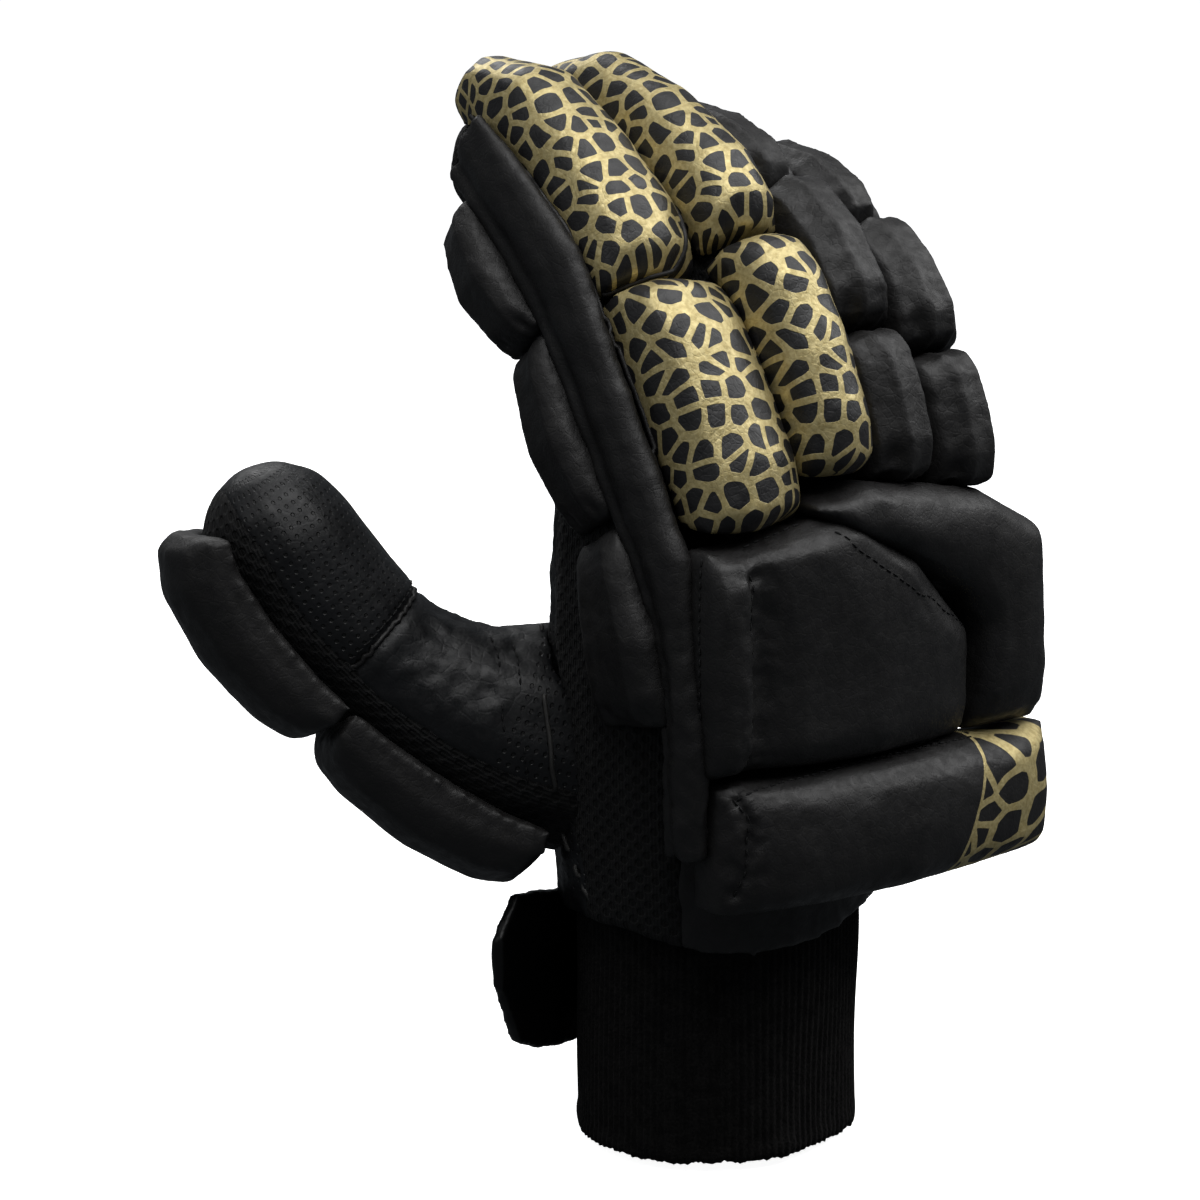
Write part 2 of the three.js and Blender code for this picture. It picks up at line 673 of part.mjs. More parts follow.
const sidePads = [
  { name: "index_side_pad_tip", rows: [
    { at: 0.55, near: -0.37, far: -1.51, thick: 0.46 },
    { at: 0.74, near: -0.37, far: -1.75, thick: 0.57 },
    { at: 0.92, near: -0.34, far: -1.43, thick: 0.4 },
  ] },
  { name: "index_side_pad_middle", rows: [
    { at: 0.1, near: -0.37, far: -1.51, thick: 0.46 },
    { at: 0.3, near: -0.38, far: -1.75, thick: 0.57 },
    { at: 0.53, near: -0.37, far: -1.51, thick: 0.46 },
  ] },
  { name: "hand_side_pad", rows: [
    { at: -0.36, near: 0.13, far: -1.75, thick: 0.52 },
    { at: -0.18, near: 0.13, far: -1.75, thick: 0.57 },
    { at: 0.07, near: -0.37, far: -1.59, thick: 0.46 },
  ] },
  { name: "index_side_strip", rows: [
    { at: -0.64, near: 0.4, far: -0.5, thick: 0.23 },
    { at: -0.4, near: 0.8, far: -0.12, thick: 0.23 },
    { at: -0.2, near: 1.15, far: 0.12, thick: 0.23 },
    { at: -0.04, near: 1.1, far: -0.16, thick: 0.23 },
    { at: 0.3, near: 1.25, far: -0.35, thick: 0.23 },
    { at: 0.6, near: 1.25, far: -0.34, thick: 0.23 },
    { at: 1, near: 1.1, far: -0.32, thick: 0.23 },
  ] },
];
sidePads.forEach((pad) => addPad(pad.name, "leather", (grow) => digitSidePad(indexDigit, pad, grow),
  [handKeepOut, thumbKeepOut, fingerKeepOuts[0]]));

// Pads on the back of the hand. Each row runs from one edge point to the other: x0 and x1 are
// shares of half of knuckleWidth from the hand's middle, z0 and z1 shares of handLength, and
// height is a share of padHeight.

// Depth of the back's surface at a place, held level past its sides.
const heldLevel = 0.55;
const slabRim = 0.45;
function backY(x, z, grow) {
  const s = handSection(z);
  const t = clamp(Math.abs(x - s.x) / (s.side + grow), 0, heldLevel);
  return -(s.back + grow) * (1 - t ** s.square) ** (1 / s.square);
}

const slabAcross = [
  { at: 0, up: 0 }, { at: 0.05, up: 0.62 }, { at: 0.15, up: 0.92 }, { at: 0.5, up: 1 },
  { at: 0.85, up: 0.92 }, { at: 0.95, up: 0.62 }, { at: 1, up: 0 },
];

function backPad(pad, grow) {
  const under = [];
  const over = [];
  const rows = pad.rows.length - 1;
  const stations = [0, 0.1, 0.3];
  for (let r = 1; r < rows; r += 1) stations.push(r);
  stations.push(rows - 0.3, rows - 0.1, rows);
  for (const station of stations) {
    const k = Math.min(Math.floor(station), rows - 1);
    const rowHeight = Math.hypot(handX(pad.rows[k].x0) - handX(pad.rows[k + 1].x0),
      handZ(pad.rows[k].z0) - handZ(pad.rows[k + 1].z0));
    const t = station + (station === 0 ? -grow : station === rows ? grow : 0) / rowHeight;
    const mix = (key) => lerp(pad.rows[k][key], pad.rows[k + 1][key], t - k);
    const rim = Math.min(station, rows - station);
    const endUp = rim <= 0 ? 0 : rim < 0.2 ? 0.62 : rim < 0.5 ? 0.92 : 1;
    const width = Math.hypot(handX(mix("x1")) - handX(mix("x0")), handZ(mix("z1")) - handZ(mix("z0")));
    const spot = (at) => {
      const wide = at + ((2 * at - 1) * grow) / width;
      return [handX(lerp(mix("x0"), mix("x1"), wide)), handZ(lerp(mix("z0"), mix("z1"), wide))];
    };
    under.push(slabAcross.map(({ at }) => {
      const [x, z] = spot(at);
      return new THREE.Vector3(x, backY(x, z, seatGap) + grow, z);
    }));
    over.push(slabAcross.map(({ at, up }) => {
      const [x, z] = spot(at);
      const thick = pad.height * padHeight * lerp(slabRim, 1, up * endUp) + grow;
      return new THREE.Vector3(x, backY(x, z, seatGap) - thick, z);
    }));
  }
  return solidOf(slabGeometry(under, over));
}

const backPads = [
  { name: "back_edge_pad", height: 0.914, rows: [
    { x0: -0.99, z0: 0.4, x1: -0.775, z1: 0.4 },
    { x0: -1, z0: 0.64, x1: -0.775, z1: 0.64 },
    { x0: -0.97, z0: 0.88, x1: -0.775, z1: 0.89 },
  ] },
  { name: "back_main_pad", height: 0.97, rows: [
    { x0: -0.752, z0: 0.4, x1: 0.7, z1: 0.38 },
    { x0: -0.752, z0: 0.6, x1: 0.71, z1: 0.62 },
    { x0: -0.752, z0: 0.78, x1: 0.3, z1: 0.8 },
    { x0: -0.752, z0: 0.89, x1: -0.2, z1: 0.93 },
  ] },
  { name: "knuckle_pad", height: 0.97, rows: [
    { x0: -0.38, z0: 0.955, x1: -0.17, z1: 0.91 },
    { x0: -0.04, z0: 0.985, x1: 0.2, z1: 0.83 },
    { x0: 0.8, z0: 0.92, x1: 0.62, z1: 0.7 },
    { x0: 1.18, z0: 0.83, x1: 0.75, z1: 0.61 },
    { x0: 1.25, z0: 0.38, x1: 0.745, z1: 0.38 },
  ] },
  { name: "wrist_bar", height: 1.086, rows: [
    { x0: -0.93, z0: 0.1, x1: 1.26, z1: 0.08 },
    { x0: -0.93, z0: 0.24, x1: 1.27, z1: 0.22 },
    { x0: -0.93, z0: 0.375, x1: 1.27, z1: 0.355 },
  ] },
];
backPads.forEach((pad) => addPad(pad.name, "leather", (grow) => backPad(pad, grow), [handKeepOut]));

export default glove;
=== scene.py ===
import math

import bmesh
import bpy
import numpy as np
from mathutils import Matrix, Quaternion, Vector, noise
from mathutils.bvhtree import BVHTree


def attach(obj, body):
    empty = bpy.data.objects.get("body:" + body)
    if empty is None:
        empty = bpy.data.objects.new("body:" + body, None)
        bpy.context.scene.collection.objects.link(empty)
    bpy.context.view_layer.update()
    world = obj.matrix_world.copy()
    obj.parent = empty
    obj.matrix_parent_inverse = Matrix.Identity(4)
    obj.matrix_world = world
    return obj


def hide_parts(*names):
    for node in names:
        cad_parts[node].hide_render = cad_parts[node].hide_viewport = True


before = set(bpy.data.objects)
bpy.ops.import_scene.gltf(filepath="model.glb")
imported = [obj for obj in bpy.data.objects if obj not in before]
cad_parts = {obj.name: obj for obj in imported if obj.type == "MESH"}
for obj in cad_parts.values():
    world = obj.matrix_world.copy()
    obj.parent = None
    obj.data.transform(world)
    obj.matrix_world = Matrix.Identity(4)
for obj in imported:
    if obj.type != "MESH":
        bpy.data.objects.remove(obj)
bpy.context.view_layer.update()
scene = bpy.context.scene

# Studio. A pale floor under the cuff's hem and a white surround. The light is a broad soft
# panel high in front, with weaker panels at the sides and behind. The black leather stays dark,
# so floor and surround show to the camera and throw little light back at the glove.
view_turn, view_height, view_distance = math.radians(-40), math.radians(13), 0.9
looked_at = Vector((-0.004, 0.042, 0.129))


def direction_to(turn, height):
    return Vector((math.sin(turn) * math.cos(height), -math.cos(turn) * math.cos(height), math.sin(height)))


def aimed(item, turn, height, distance):
    """The item stands off from the glove in a direction and looks at it."""
    back = direction_to(turn, height)
    item.location = looked_at + back * distance
    item.rotation_mode = "QUATERNION"
    item.rotation_quaternion = (-back).to_track_quat("-Z", "Y")
    scene.collection.objects.link(item)
    return item


camera = aimed(bpy.data.objects.new("camera", bpy.data.cameras.new("camera")), view_turn, view_height, view_distance)
camera.data.sensor_width = 36
camera.data.lens = 104.2
camera.data.clip_start = 0.05
scene.camera = camera

for name, turn, height, distance, size, power in (
    ("high_light", -8, 70, 1.2, 1.1, 15),
    ("right_light", 66, 40, 1.2, 0.8, 8.0),
    ("left_light", -100, 35, 1.2, 0.7, 1.4),
    ("rear_light", 165, 45, 1.2, 0.7, 5),
):
    light = bpy.data.lights.new(name, "AREA")
    light.size = size
    light.energy = power
    aimed(bpy.data.objects.new(name, light), math.radians(turn), math.radians(height), distance)

surround = bpy.data.worlds.new("pale_surround")
surround.use_nodes = True
sky = surround.node_tree
seen, thrown = sky.nodes["Background"], sky.nodes.new("ShaderNodeBackground")
seen.inputs["Color"].default_value = (1, 1, 1, 1)
thrown.inputs["Color"].default_value = (0.86, 0.93, 1, 1)
thrown.inputs["Strength"].default_value = 0.11
chosen, path = sky.nodes.new("ShaderNodeMixShader"), sky.nodes.new("ShaderNodeLightPath")
sky.links.new(path.outputs["Is Camera Ray"], chosen.inputs[0])
sky.links.new(thrown.outputs[0], chosen.inputs[1])
sky.links.new(seen.outputs[0], chosen.inputs[2])
sky.links.new(chosen.outputs[0], sky.nodes["World Output"].inputs["Surface"])
scene.world = surround
scene.view_settings.view_transform = "Standard"

floor_reach, floor_level = 9, -0.003
floor_mesh = bpy.data.meshes.new("floor")
corners = [(x * floor_reach, y * floor_reach, floor_level) for x, y in ((-1, -1), (1, -1), (1, 1), (-1, 1))]
floor_mesh.from_pydata(corners, [], [(0, 1, 2, 3)])
floor = bpy.data.objects.new("floor", floor_mesh)
scene.collection.objects.link(floor)
floor.visible_diffuse = floor.visible_glossy = False
floor_paint = bpy.data.materials.new("floor_paint")
floor_paint.use_nodes = True
for key, value in (("Base Color", (0.9, 0.9, 0.9, 1)), ("Roughness", 0.9), ("Specular IOR Level", 0.0),
                   ("Emission Color", (1, 1, 1, 1)), ("Emission Strength", 0.94)):
    floor_paint.node_tree.nodes["Principled BSDF"].inputs[key].default_value = value
floor_mesh.materials.append(floor_paint)

# Knitted cuff. A tube of fine ribbed knit, brushed on the outside, that grips the wrist. It is
# knitted in one with the lining, its upper end lies inside the hem of the hand shell, and its
# lower end is a raw, slightly frayed edge.
cuff_length, cuff_width, cuff_depth, knit_wall = 0.068, 0.076, 0.068, 0.0026
cuff_ribs, rib_columns, rib_depth = 116, 6, 0.00020


def piece_of(name, points, faces):
    mesh = bpy.data.meshes.new(name)
    mesh.from_pydata([tuple(p) for p in points], [], faces)
    mesh.validate()
    mesh.shade_smooth()
    piece = bpy.data.objects.new(name, mesh)
    scene.collection.objects.link(piece)
    return piece


def round_wall(name, outer, inner):
    """A tube's wall between two grids of points, each a list of rings from the bottom up."""
    columns = len(outer[0])
    rings = outer + inner[::-1]
    points = [p for ring in rings for p in ring]
    faces = []
    for r in range(len(rings)):
        for k in range(columns):
            a, b = r * columns + k, r * columns + (k + 1) % columns
            c, d = ((r + 1) % len(rings)) * columns + (k + 1) % columns, ((r + 1) % len(rings)) * columns + k
            faces.append((a, b, c, d))
    return piece_of(name, points, faces)


def cuff_point(angle, share, inside):
    fray = noise.noise(Vector((math.cos(angle) * 9, math.sin(angle) * 9, 3))) * 0.0011
    fray += noise.noise(Vector((math.cos(angle) * 40, math.sin(angle) * 40, 7))) * 0.0006
    z = (cuff_length - 0.0004) * share + max(1 - share * 8, 0) * (fray - 0.0002)
    slack = 0.0011 * noise.noise(Vector((math.cos(angle) * 1.7, math.sin(angle) * 1.7, z * 30)))
    roll = 0.0012 * math.exp(-((z - 0.002) / 0.0018) ** 2) * (0.4 + noise.noise(Vector((angle * 3, 0, 5))))
    rib = rib_depth * math.cos(angle * cuff_ribs)
    out = -knit_wall + 0.0004 - 0.3 * slack if inside else rib + slack + roll - 0.0006
    return Vector((math.cos(angle) * (cuff_width / 2 + out), math.sin(angle) * (cuff_depth / 2 + out), z))


turns = [2 * math.pi * k / (cuff_ribs * rib_columns) for k in range(cuff_ribs * rib_columns)]
knit_cuff = round_wall(
    "ribbed_cuff",
    [[cuff_point(turn, row / 44, False) for turn in turns] for row in range(45)],
    [[cuff_point(turn, row / 6, True) for turn in turns] for row in range(7)],
)


def add(tree, kind, inputs=None, **settings):
    """A node with its settings, and its inputs as values or as links from other nodes."""
    node = tree.nodes.new(kind)
    for key, value in settings.items():
        setattr(node, key, value)
    for key, value in (inputs or {}).items():
        if isinstance(value, bpy.types.NodeSocket):
            tree.links.new(value, node.inputs[key])
        else:
            node.inputs[key].default_value = value
    return node


def finish_named(name, **sockets):
    """A new finish, with plain values set on its shader's own sockets."""
    finish = bpy.data.materials.new(name)
    finish.use_nodes = True
    shader = finish.node_tree.nodes["Principled BSDF"]
    for key, value in sockets.items():
        shader.inputs[key.replace("_", " ")].default_value = value
    return finish, finish.node_tree, shader


def where_on(tree):
    return add(tree, "ShaderNodeTexCoord").outputs["Object"]


def spread(tree, value, low, high, to_low, to_high):
    ramp = {"Value": value, "From Min": low, "From Max": high, "To Min": to_low, "To Max": to_high}
    return add(tree, "ShaderNodeMapRange", ramp, interpolation_type="SMOOTHSTEP").outputs["Result"]


def two_tone(tree, share, dark, light):
    mix = add(tree, "ShaderNodeMix", {"Factor": share}, data_type="RGBA")
    mix.inputs["A"].default_value = (*dark, 1)
    mix.inputs["B"].default_value = (*light, 1)
    return mix.outputs["Result"]


def speckle(tree, place, scale, detail=3.0, distortion=0.0):
    inputs = {"Vector": place, "Scale": scale, "Detail": detail, "Distortion": distortion}
    return add(tree, "ShaderNodeTexNoise", inputs).outputs["Fac"]


def relief(tree, height, depth, strength, under=None):
    inputs = {"Height": height, "Distance": depth, "Strength": strength}
    if under is not None:
        inputs["Normal"] = under
    return add(tree, "ShaderNodeBump", inputs).outputs["Normal"]


rib_knit, tree, shader = finish_named("rib_knit", Roughness=0.95, Specular_IOR_Level=0.12, Sheen_Weight=0.03,
                                      Sheen_Roughness=0.5, Sheen_Tint=(0.55, 0.5, 0.5, 1))
place = where_on(tree)
fuzz = speckle(tree, place, 1500, 4)
pilling = speckle(tree, place, 260, 5, 0.4)
mottle = add(tree, "ShaderNodeMath", {0: fuzz, 1: pilling}, operation="MULTIPLY").outputs[0]
share = spread(tree, mottle, 0.14, 0.36, 0, 1)
tree.links.new(two_tone(tree, share, (0.0009, 0.0009, 0.0009), (0.0058, 0.0055, 0.0053)), shader.inputs["Base Color"])
tree.links.new(relief(tree, fuzz, 0.0006, 0.9, relief(tree, pilling, 0.0007, 0.5)), shader.inputs["Normal"])
knit_cuff.data.materials.append(rib_knit)
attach(knit_cuff, "root")
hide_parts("knit_cuff")

# Hand shell. Three panels sewn edge to edge: soft wrinkled sheepskin over the palm, an open
# knitted mesh down the thumb side, and plain leather across the back under the pads. The seams
# are turned in, with a narrow light binding where the palm meets the mesh.


def cad_copy(node_names, name):
    """A loose copy of solids of the frame, their doubled points merged."""
    form = bmesh.new()
    for node_name in node_names:
        form.from_mesh(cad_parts[node_name].data)
    bmesh.ops.remove_doubles(form, verts=form.verts, dist=2e-6)
    mesh = bpy.data.meshes.new(name)
    form.to_mesh(mesh)
    form.free()
    piece = bpy.data.objects.new(name, mesh)
    scene.collection.objects.link(piece)
    return piece


def settled(piece):
    """The piece's modifiers become part of its mesh."""
    piece.data = bpy.data.meshes.new_from_object(piece.evaluated_get(bpy.context.evaluated_depsgraph_get()))
    piece.modifiers.clear()
    piece.data.materials.clear()
    piece.data.shade_smooth()
    return piece


def softened(node_names, name, cell, rounds, grow=0.0, free=None):
    """A copy of solids with even small faces and its facets smoothed away. Grown copies meet, and
    free, from 0 to 1 at each point, says how far the smoothing acts there."""
    piece = cad_copy(node_names, name)
    swell = piece.modifiers.new("grow", "DISPLACE")
    swell.mid_level, swell.strength = 0, grow
    even = piece.modifiers.new("even", "REMESH")
    even.mode = "VOXEL"
    even.voxel_size = cell
    settled(piece)
    smooth = piece.modifiers.new("smooth", "SMOOTH")
    smooth.factor = 0.5
    smooth.iterations = rounds
    if free is not None:
        loose = piece.vertex_groups.new(name="loose")
        for index, share in enumerate(free(points_of(piece))):
            loose.add([index], float(share), "REPLACE")
        smooth.vertex_group = "loose"
    return settled(piece)


def points_of(piece):
    places = np.empty(len(piece.data.vertices) * 3)
    piece.data.vertices.foreach_get("co", places)
    return places.reshape(-1, 3)


def normals_of(piece):
    ways = np.empty(len(piece.data.vertices) * 3)
    piece.data.vertices.foreach_get("normal", ways)
    return ways.reshape(-1, 3)


def move_to(piece, places):
    piece.data.vertices.foreach_set("co", np.asarray(places).ravel())
    piece.data.update()


def rumple(piece, depth, scale, amount=None, seed=0.0, stretch=(1, 1, 1)):
    """Shallow folds in the leather: points move along their normals by a fixed noise."""
    places, ways = points_of(piece), normals_of(piece)
    pull = np.array([noise.fractal(Vector(p) * scale, 0.8, 2.1, 3) for p in (places * stretch + seed)])
    pull = pull * depth * (1 if amount is None else amount(places))
    move_to(piece, places + ways * pull[:, None])


def lay_print(piece, around, along, period=None):
    """Each face corner keeps its place across and along the cloth, in metres, as a UV map."""
    layer = piece.data.uv_layers.new(name="cloth")
    corners = np.empty(len(piece.data.loops), dtype=np.int32)
    piece.data.loops.foreach_get("vertex_index", corners)
    u, v = around[corners], along[corners]
    if period:
        first = np.empty(len(piece.data.polygons), dtype=np.int32)
        sizes = np.empty(len(piece.data.polygons), dtype=np.int32)
        piece.data.polygons.foreach_get("loop_start", first)
        piece.data.polygons.foreach_get("loop_total", sizes)
        base = np.repeat(u[first], sizes)
        u = u - period * np.round((u - base) / period)
    layer.data.foreach_set("uv", np.stack([u, v], -1).ravel())


def worn_by(piece, nodes, finish):
    """The piece's finish and its declarations."""
    piece.data.materials.append(finish)
    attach(piece, "root")
    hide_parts(*nodes)


def surface_of(piece):
    return BVHTree.FromPolygons([v.co for v in piece.data.vertices], [f.vertices for f in piece.data.polygons])


def gap_to(node_name, places):
    """How far each point is from a solid of the frame."""
    solid = cad_copy([node_name], "measured")
    tree = surface_of(solid)
    bpy.data.objects.remove(solid)
    return np.array([tree.find_nearest(place)[3] for place in places])


def lapped(parts, cell, rounds, grow, free=None):
    """Panels sewn edge to edge on one smooth form. Each is the whole form, pressed in wherever
    another panel lies, so that the edges lap and leave no slit."""
    form = softened([node for node, _ in parts], parts[0][1], cell, rounds, grow, free)
    places, ways = points_of(form), normals_of(form)
    reach = np.array([gap_to(node, places) for node, _ in parts])
    pieces = []
    for k, (_, name) in enumerate(parts):
        under = np.clip((reach[k] - np.delete(reach, k, 0).min(0)) / lap_width, 0, 1)
        piece = form if k == 0 else bpy.data.objects.new(name, form.data.copy())
        if k:
            scene.collection.objects.link(piece)
        pieces.append((piece, places - ways * (lap_depth * under)[:, None]))
    for piece, pressed_in in pieces:
        move_to(piece, pressed_in)
    return [piece for piece, _ in pieces]


hand_middle, hand_round, seam_grow, lap_width, lap_depth = 0.005, 0.046, 0.0007, 0.0012, 0.0011
palm_panel, back_panel, mesh_panel = lapped(
    [("palm_leather", "palm_panel"), ("back_leather", "back_panel"), ("side_mesh", "side_mesh_panel")],
    0.0014, 8, seam_grow)
rumple(palm_panel, 0.0009, 75, stretch=(1, 1, 0.5))
rumple(palm_panel, 0.0003, 300, seed=3.0)
rumple(back_panel, 0.0005, 90, seed=1.0)
rumple(mesh_panel, 0.0003, 80, seed=2.0)
for panel in (palm_panel, back_panel, mesh_panel):
    places = points_of(panel)
    turn = np.arctan2(places[:, 1], places[:, 0] - hand_middle)
    lay_print(panel, turn * hand_round, places[:, 2], 2 * math.pi * hand_round)


def grain(tree, place, pebble, crease):
    """Leather grain: small pebbles between fine creases, on broader soft wrinkles."""
    cells = add(tree, "ShaderNodeTexVoronoi", {"Vector": place, "Scale": pebble, "Smoothness": 0.6},
                feature="SMOOTH_F1")
    lines = add(tree, "ShaderNodeTexVoronoi", {"Vector": place, "Scale": crease, "Randomness": 1.0},
                feature="DISTANCE_TO_EDGE")
    soft = speckle(tree, place, crease * 0.35, 5, 0.8)
    first = relief(tree, cells.outputs["Distance"], 0.00010, 0.4)
    second = relief(tree, spread(tree, lines.outputs["Distance"], 0, 0.12, 0, 1), 0.00008, 0.3, first)
    return relief(tree, soft, 0.00035, 0.4, second)


def leather_finish(name, dark, light, rough, pebble=1300, crease=420, **sockets):
    finish, tree, shader = finish_named(name, **sockets)
    place = where_on(tree)
    cloud = speckle(tree, place, 55, 5, 0.5)
    rub = speckle(tree, place, 380, 6, 0.3)
    tone = two_tone(tree, spread(tree, cloud, 0.35, 0.7, 0, 1), dark, light)
    tree.links.new(tone, shader.inputs["Base Color"])
    tree.links.new(spread(tree, rub, 0.3, 0.7, rough - 0.07, rough + 0.09), shader.inputs["Roughness"])
    tree.links.new(grain(tree, place, pebble, crease), shader.inputs["Normal"])
    return finish


def holes_in(tree, pitch, radius, turn, soft):
    """1 at the middle of each hole of an even pattern on the cloth's UV map, 0 between."""
    uv = add(tree, "ShaderNodeUVMap", uv_map="cloth").outputs["UV"]
    placed = add(tree, "ShaderNodeMapping", {"Vector": uv, "Rotation": (0, 0, math.radians(turn)),
                                            "Scale": (1 / pitch, 1 / pitch, 1)})
    near = add(tree, "ShaderNodeTexVoronoi", {"Vector": placed.outputs["Vector"], "Scale": 1.0, "Randomness": 0.0},
               voronoi_dimensions="2D")
    return spread(tree, near.outputs["Distance"], radius / pitch, radius / pitch + soft, 1, 0)


black_leather = leather_finish("black_leather", (0.0046, 0.0042, 0.0042), (0.0062, 0.0057, 0.0057), 0.54,
                               Specular_IOR_Level=0.34)

# The palm's sheepskin is thinner, glossier and more creased, and pierced with fine holes, but not
# over the wrinkled web of the thumb, which lies between two places along the thumb.
web_from, web_to = 0.028, 0.0655
palm_sheepskin = leather_finish("palm_sheepskin", (0.0034, 0.0036, 0.0041), (0.0062, 0.0066, 0.0075), 0.46,
                                pebble=1000, crease=300, Specular_IOR_Level=0.28)
tree = palm_sheepskin.node_tree
shader = tree.nodes["Principled BSDF"]
uv = add(tree, "ShaderNodeUVMap", uv_map="cloth").outputs["UV"]
cloth_length = add(tree, "ShaderNodeSeparateXYZ", {"Vector": uv}).outputs["Y"]
past_web = spread(tree, cloth_length, web_to - 0.0005, web_to + 0.0005, 0, 1)
before_web = spread(tree, cloth_length, web_from - 0.001, web_from, 1, 0)
pierced_part = add(tree, "ShaderNodeMath", {0: past_web, 1: before_web}, operation="MAXIMUM").outputs[0]
pores = add(tree, "ShaderNodeMath", {0: holes_in(tree, 0.0024, 0.00034, 0, 0.1), 1: pierced_part},
            operation="MULTIPLY").outputs[0]
tone = shader.inputs["Base Color"].links[0].from_socket
# The pores are darkened in the base colour: painted shade inside the real holes, which the bump below also sinks.
pierced = add(tree, "ShaderNodeMix", {"Factor": pores, "A": tone}, data_type="RGBA")
pierced.inputs["B"].default_value = (0.002, 0.002, 0.002, 1)
tree.links.new(pierced.outputs["Result"], shader.inputs["Base Color"])
inverse = add(tree, "ShaderNodeMath", {0: 1.0, 1: pores}, operation="SUBTRACT").outputs[0]
skin = shader.inputs["Normal"].links[0].from_socket
tree.links.new(relief(tree, inverse, 0.0005, 0.8, skin), shader.inputs["Normal"])

# The side mesh is a matt warp knit with rows of oval holes through its face.
open_mesh, tree, shader = finish_named("open_mesh", Roughness=0.85, Specular_IOR_Level=0.22, Sheen_Weight=0.02)
place = where_on(tree)
holes = holes_in(tree, 0.0030, 0.0008, 45, 0.16)
yarn = speckle(tree, place, 1700, 3)
ribs = add(tree, "ShaderNodeTexWave", {"Vector": add(tree, "ShaderNodeUVMap", uv_map="cloth").outputs["UV"],
                                       "Scale": 330.0, "Distortion": 1.2, "Detail": 2.0}).outputs["Fac"]
cloth = two_tone(tree, yarn, (0.0012, 0.0012, 0.0013), (0.0055, 0.0055, 0.0058))
# The holes are darkened in the base colour: painted shade inside the real holes of the knit.
shaded_holes = add(tree, "ShaderNodeMix", {"Factor": holes, "A": cloth}, data_type="RGBA")
shaded_holes.inputs["B"].default_value = (0.0003, 0.0003, 0.0003, 1)
tree.links.new(shaded_holes.outputs["Result"], shader.inputs["Base Color"])
level = add(tree, "ShaderNodeMath", {0: 1.0, 1: holes}, operation="SUBTRACT").outputs[0]
weave = relief(tree, ribs, 0.0003, 0.5, relief(tree, yarn, 0.0002, 0.5))
tree.links.new(relief(tree, level, 0.0011, 0.9, weave), shader.inputs["Normal"])

worn_by(palm_panel, ["palm_leather"], palm_sheepskin)
worn_by(back_panel, ["back_leather"], black_leather)
worn_by(mesh_panel, ["side_mesh"], open_mesh)

# Finger stalls. Tubes of the same mesh, one for each finger, sewn into the top of the shell and
# curled with the hand. The table gives each digit's root, its length, and its slope in degrees at
# the root and at the tip.
digit_specs = {
    "index": dict(root=(-0.02535, -0.01705, 0.15632), length=0.115, lean=28, curl=56),
    "middle": dict(root=(0.00293, -0.01922, 0.16416), length=0.112, lean=21, curl=74),
    "ring": dict(root=(0.02566, -0.01767, 0.16304), length=0.094, lean=17, curl=74),
    "little": dict(root=(0.04838, -0.01736, 0.15632), length=0.084, lean=13, curl=68),
    "thumb": dict(root=(-0.02434, 0.02201, 0.0936), length=0.100, lean=0, curl=48),
}
finger_bends = ((-0.5, -0.7), (-0.06, -0.35), (0.04, 0), (0.42, 0.2), (0.58, 0.55), (1, 1))
thumb_bends = ((-0.2, -0.1), (0, 0), (0.28, 0.3), (0.6, 0.6), (0.85, 0.9), (1, 1))
thumb_bearing, thumb_rise, thumb_roll = math.radians(30), math.radians(13), math.radians(8)
steps_along, steps_before = 60, 30


def digit_line(name):
    """Samples along a digit's middle line: place along, centre, direction and outward side."""
    spec = digit_specs[name]
    bends = thumb_bends if name == "thumb" else finger_bends
    along, outward = Vector((0, 0, 1)), Vector((0, -1, 0))
    if name == "thumb":
        level = math.cos(thumb_rise)
        along = Vector((-level * math.cos(thumb_bearing), level * math.sin(thumb_bearing), math.sin(thumb_rise)))
        outward = Vector((0, 0, -1)) - along * along.dot(Vector((0, 0, -1)))
        outward.normalize()
        outward.rotate(Quaternion(along, thumb_roll))
    across = along.cross(outward)
    step = spec["length"] / steps_along
    centre = {0: Vector(spec["root"])}

    def slope(index):
        turn = np.interp((index + 0.5) / steps_along, [b[0] for b in bends], [b[1] for b in bends])
        return math.radians(spec["lean"] + (spec["curl"] - spec["lean"]) * turn)

    for i in range(steps_along):
        centre[i + 1] = centre[i] + (along * math.cos(slope(i)) - outward * math.sin(slope(i))) * step
    for i in range(-1, -steps_before - 1, -1):
        centre[i] = centre[i + 1] - (along * math.cos(slope(i)) - outward * math.sin(slope(i))) * step
    places = range(-steps_before, steps_along + 1)
    turns = [slope(min(i, steps_along - 1)) for i in places]
    return dict(
        bend=np.gradient(np.array(turns), step),
        s=np.array([i * step for i in places]),
        centre=np.array([centre[i] for i in places]),
        way=np.array([along * math.cos(turn) - outward * math.sin(turn) for turn in turns]),
        out=np.array([along * math.sin(turn) + outward * math.cos(turn) for turn in turns]),
        across=np.array(across),
    )


digits = {name: digit_line(name) for name in digit_specs}


def on_digit(digit, places):
    """For each point: how far along the digit, how far across it and how far out from its line."""
    offset = places[:, None, :] - digit["centre"][None, :, :]
    near = np.argmin((offset**2).sum(-1), axis=1)
    off = places - digit["centre"][near]
    h = (off * digit["out"][near]).sum(-1)
    s = digit["s"][near] + (off * digit["way"][near]).sum(-1) / np.maximum(1 + digit["bend"][near] * h, 0.3)
    return s, off @ digit["across"], h


def wrap_digit(piece, digit, radius):
    s, a, h = on_digit(digit, points_of(piece))
    lay_print(piece, np.arctan2(a, h) * radius, s, 2 * math.pi * radius)


for name in ("index", "middle", "ring", "little"):
    stall = softened([name + "_stall"], name + "_finger_cloth", 0.0013, 6, seam_grow)
    rumple(stall, 0.0006, 110, seed=4.0)
    wrap_digit(stall, digits[name], 0.013)
    worn_by(stall, [name + "_stall"], open_mesh)

